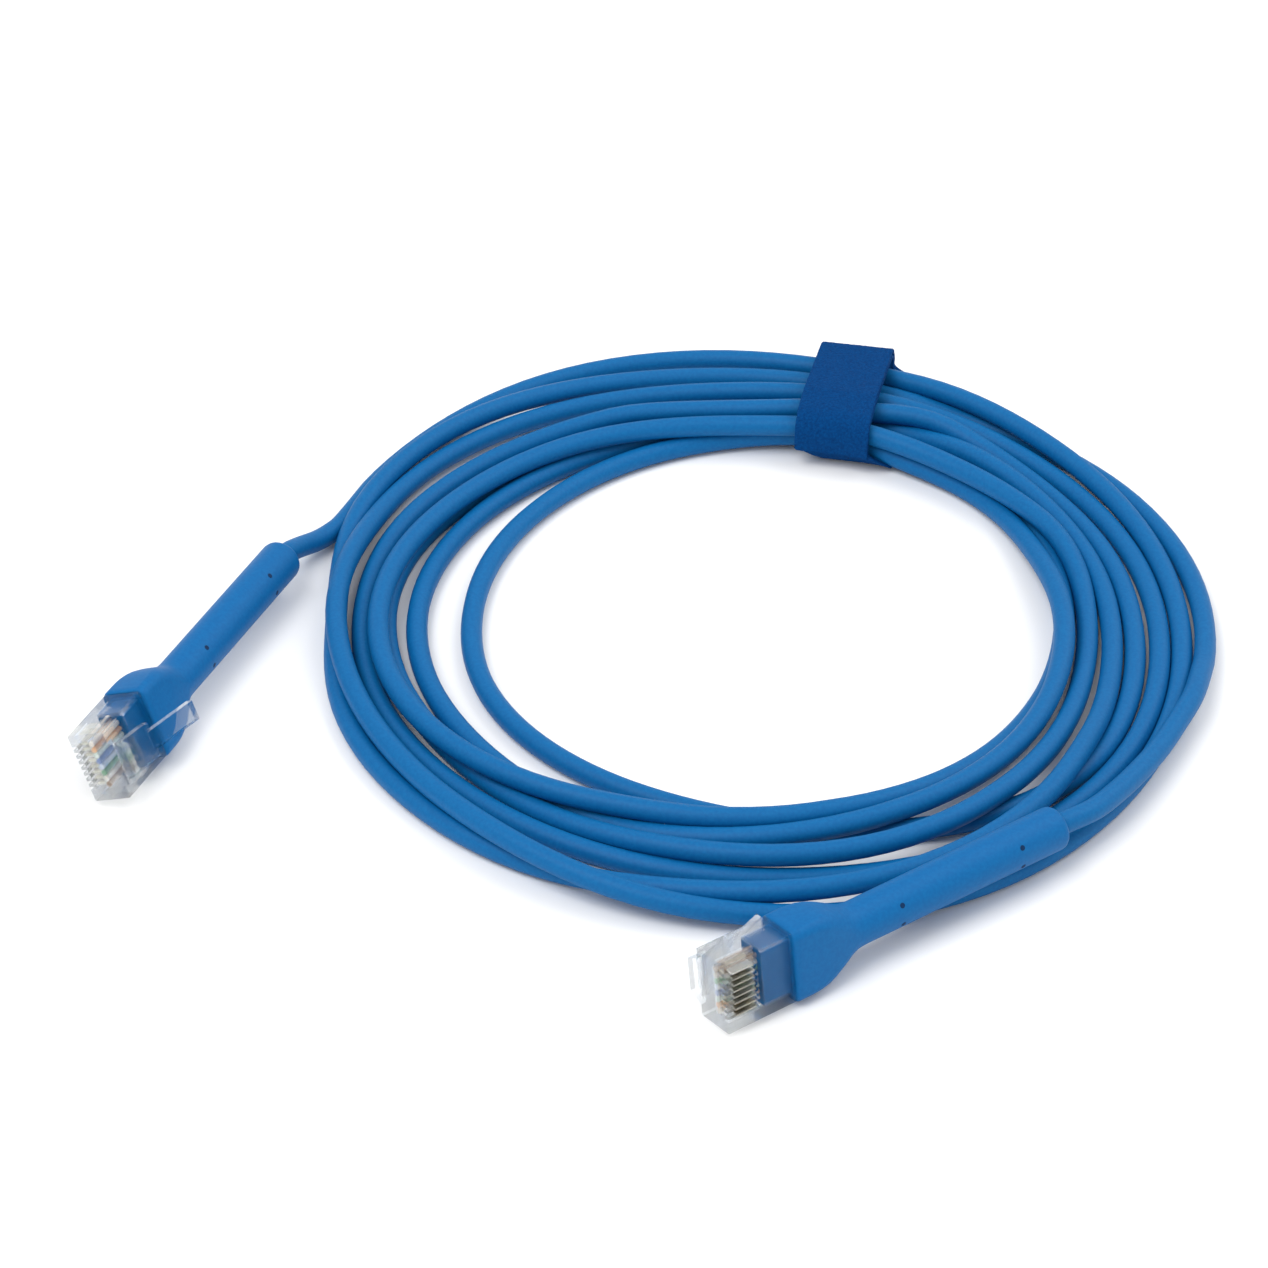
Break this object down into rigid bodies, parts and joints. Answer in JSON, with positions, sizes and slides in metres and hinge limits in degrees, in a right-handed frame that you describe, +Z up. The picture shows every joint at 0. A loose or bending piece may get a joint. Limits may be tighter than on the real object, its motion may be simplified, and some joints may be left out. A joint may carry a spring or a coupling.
{
  "type": "ethernet patch cable",
  "caption": "Coiled blue ethernet patch cable with a clear modular plug and slim moulded boot on each end, held by a hook-and-loop strap.",
  "frame": {"origin": "centre of the part's plan on the surface that it lies on", "axes": "+Z up; -Y towards the viewer's side, where the two plugs lie"},
  "size_m": [0.179, 0.1842, 0.0138],
  "materials": {
    "clear_housing": "clear moulded polycarbonate",
    "contact_gold": "gold-plated, polished",
    "boot_blue": "soft moulded PVC, satin",
    "jacket_blue": "extruded PVC jacket, satin",
    "strap_loop": "brushed woven loop",
    "strap_hook": "moulded hook lining",
    "wire_white_orange": "insulation, white with an orange stripe",
    "wire_orange": "insulation",
    "wire_white_green": "insulation, white with a green stripe",
    "wire_blue": "insulation",
    "wire_white_blue": "insulation, white with a blue stripe",
    "wire_green": "insulation",
    "wire_white_brown": "insulation, white with a brown stripe",
    "wire_brown": "insulation"
  },
  "bodies": {
    "cable": {"housing_a": "clear_housing", "contacts_a": "contact_gold", "boot_a": "boot_blue", "jacket_end_a": "jacket_blue", "wire_white_orange_a": "wire_white_orange", "wire_orange_a": "wire_orange", "wire_white_green_a": "wire_white_green", "wire_blue_a": "wire_blue", "wire_white_blue_a": "wire_white_blue", "wire_green_a": "wire_green", "wire_white_brown_a": "wire_white_brown", "wire_brown_a": "wire_brown", "housing_b": "clear_housing", "contacts_b": "contact_gold", "boot_b": "boot_blue", "jacket_end_b": "jacket_blue", "wire_white_orange_b": "wire_white_orange", "wire_orange_b": "wire_orange", "wire_white_green_b": "wire_white_green", "wire_blue_b": "wire_blue", "wire_white_blue_b": "wire_white_blue", "wire_green_b": "wire_green", "wire_white_brown_b": "wire_white_brown", "wire_brown_b": "wire_brown", "coil": "jacket_blue", "stray_turn_outer": "jacket_blue", "stray_turn_inner": "jacket_blue", "lead_a": "jacket_blue", "lead_b": "jacket_blue", "strap_loop": "strap_loop", "strap_hook": "strap_hook"},
    "latch_a": {"latch_a": "clear_housing"},
    "latch_b": {"latch_b": "clear_housing"},
    "strap_tail": {"strap_tail": "strap_loop", "strap_tail_hook": "strap_hook"}
  },
  "joints": [
    {"name": "latch_a_press", "type": "hinge", "parent": "cable", "child": "latch_a", "pos_m": [-0.08078, -0.03717, 0.00869], "axis": [-0.3237, 0.1554, 0.9333], "range_deg": [0, 12], "stiffness_Nm_per_rad": 0.02},
    {"name": "latch_b_press", "type": "hinge", "parent": "cable", "child": "latch_b", "pos_m": [0.00643, -0.08481, 0.00579], "axis": [0.0849, -0.0892, -0.9924], "range_deg": [0, 12], "stiffness_Nm_per_rad": 0.02},
    {"name": "strap_tail_peel", "type": "hinge", "parent": "cable", "child": "strap_tail", "pos_m": [0.03405, 0.08538, 0.00967], "axis": [-0.9744, 0.225, 0], "range_deg": [0, 80]}
  ]
}
